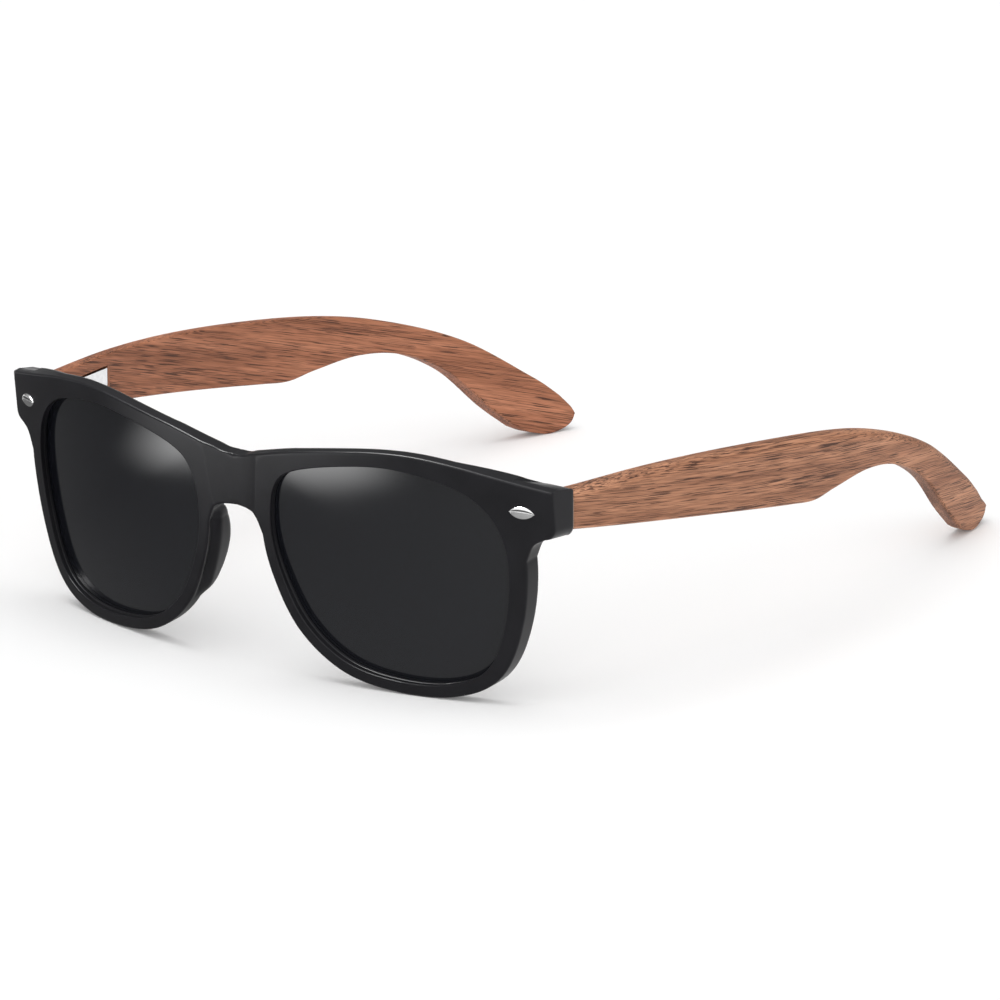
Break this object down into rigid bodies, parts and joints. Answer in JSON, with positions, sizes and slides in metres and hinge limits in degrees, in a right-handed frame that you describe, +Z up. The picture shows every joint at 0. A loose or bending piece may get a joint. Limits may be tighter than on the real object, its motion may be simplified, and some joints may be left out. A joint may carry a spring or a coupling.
{
  "type": "sunglasses",
  "caption": "Sunglasses with a black moulded front, dark grey lenses, almond studs and bowed walnut temples on sprung folding hinges.",
  "frame": {"origin": "centre of the bounding box at its lowest level, where the rims and temple tips stand", "axes": "+X towards the wearer's left, +Y towards the wearer's ears, +Z up; the front faces -Y"},
  "size_m": [0.1448, 0.1794, 0.0524],
  "materials": {
    "black_plastic": "satin black moulded plastic with a fine grain",
    "smoke_lens": "polished dark grey polarised lens",
    "polished_steel": "polished nickel silver",
    "hinge_steel": "brushed stainless steel",
    "spring_steel": "drawn spring wire",
    "bush_brass": "turned brass",
    "walnut": "oiled walnut with fine dark pores along the length"
  },
  "bodies": {
    "front": {"front_frame": "black_plastic", "left_lens": "smoke_lens", "right_lens": "smoke_lens", "left_front_stud": "polished_steel", "right_front_stud": "polished_steel", "left_front_hinge": "hinge_steel", "right_front_hinge": "hinge_steel", "left_hinge_screw": "hinge_steel", "right_hinge_screw": "hinge_steel"},
    "left_hinge_link": {"left_hinge_shank": "hinge_steel", "left_rod_nut": "bush_brass"},
    "left_arm": {"left_temple": "walnut", "left_spring_housing": "polished_steel", "left_lock_bush": "bush_brass", "left_hinge_spring": "spring_steel"},
    "right_hinge_link": {"right_hinge_shank": "hinge_steel", "right_rod_nut": "bush_brass"},
    "right_arm": {"right_temple": "walnut", "right_spring_housing": "polished_steel", "right_lock_bush": "bush_brass", "right_hinge_spring": "spring_steel"}
  },
  "joints": [
    {"name": "left_fold", "type": "hinge", "parent": "front", "child": "left_hinge_link", "pos_m": [0.065, -0.06372, 0.04046], "axis": [0, 0, 1], "range_deg": [-4, 87]},
    {"name": "left_spring_pull", "type": "slide", "parent": "left_hinge_link", "child": "left_arm", "axis": [0.0958, 0.9954, 0], "range_m": [0, 0.0012], "stiffness_N_per_m": 300, "springref_m": -0.002, "deforming": ["left_hinge_spring"]},
    {"name": "right_fold", "type": "hinge", "parent": "front", "child": "right_hinge_link", "pos_m": [-0.065, -0.06372, 0.04046], "axis": [0, 0, -1], "range_deg": [-4, 74]},
    {"name": "right_spring_pull", "type": "slide", "parent": "right_hinge_link", "child": "right_arm", "axis": [-0.0958, 0.9954, 0], "range_m": [0, 0.0012], "stiffness_N_per_m": 300, "springref_m": -0.002, "deforming": ["right_hinge_spring"]}
  ]
}
